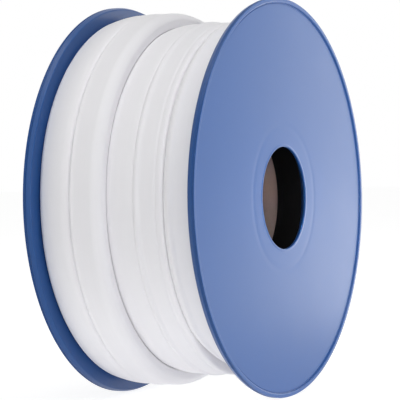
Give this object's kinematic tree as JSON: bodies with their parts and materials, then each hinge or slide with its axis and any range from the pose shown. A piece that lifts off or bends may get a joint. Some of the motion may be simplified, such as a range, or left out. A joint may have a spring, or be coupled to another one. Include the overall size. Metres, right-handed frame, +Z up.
{
  "type": "reel of gasket tape",
  "caption": "Blue flanged reel with soft white sealing tape wound side by side between the flanges; an axle bore takes a mandrel, and the tape's free end lifts off the roll.",
  "frame": {"origin": "centre of the axle bore, midway between the flanges", "axes": "+Y along the axle from the front flange to the rear flange, +Z up with the reel standing on its rims"},
  "size_m": [0.2, 0.092, 0.2],
  "materials": {
    "flange_plastic": "satin moulded polystyrene, mid blue",
    "collar_plastic": "matt moulded, black",
    "core_board": "spiral-wound board, matt",
    "tape": "expanded PTFE, soft and matt, white",
    "adhesive": "tacky acrylic film",
    "liner_paper": "siliconised paper, satin"
  },
  "bodies": {
    "reel": {"front_flange": "flange_plastic", "rear_flange": "flange_plastic", "front_hub_collar": "collar_plastic", "rear_hub_collar": "collar_plastic", "core_tube": "core_board", "tape_inner_pack": "tape", "tape_outer_turns": "tape"},
    "free_end": {"tape_free_end": "tape", "adhesive_strip": "adhesive"},
    "liner": {"release_liner": "liner_paper"}
  },
  "joints": [
    {"name": "tail_lift", "type": "hinge", "parent": "reel", "child": "free_end", "pos_m": [0.0327, 0, 0.08983], "axis": [0, -1, 0], "range_deg": [0, 70]},
    {"name": "liner_peel", "type": "hinge", "parent": "reel", "child": "liner", "pos_m": [0.03059, 0, 0.08406], "axis": [0, -1, 0], "range_deg": [0, 28.5]}
  ],
  "couplings": [
    {"joint": "liner_peel", "follows": "tail_lift", "ratio": 0.4}
  ]
}
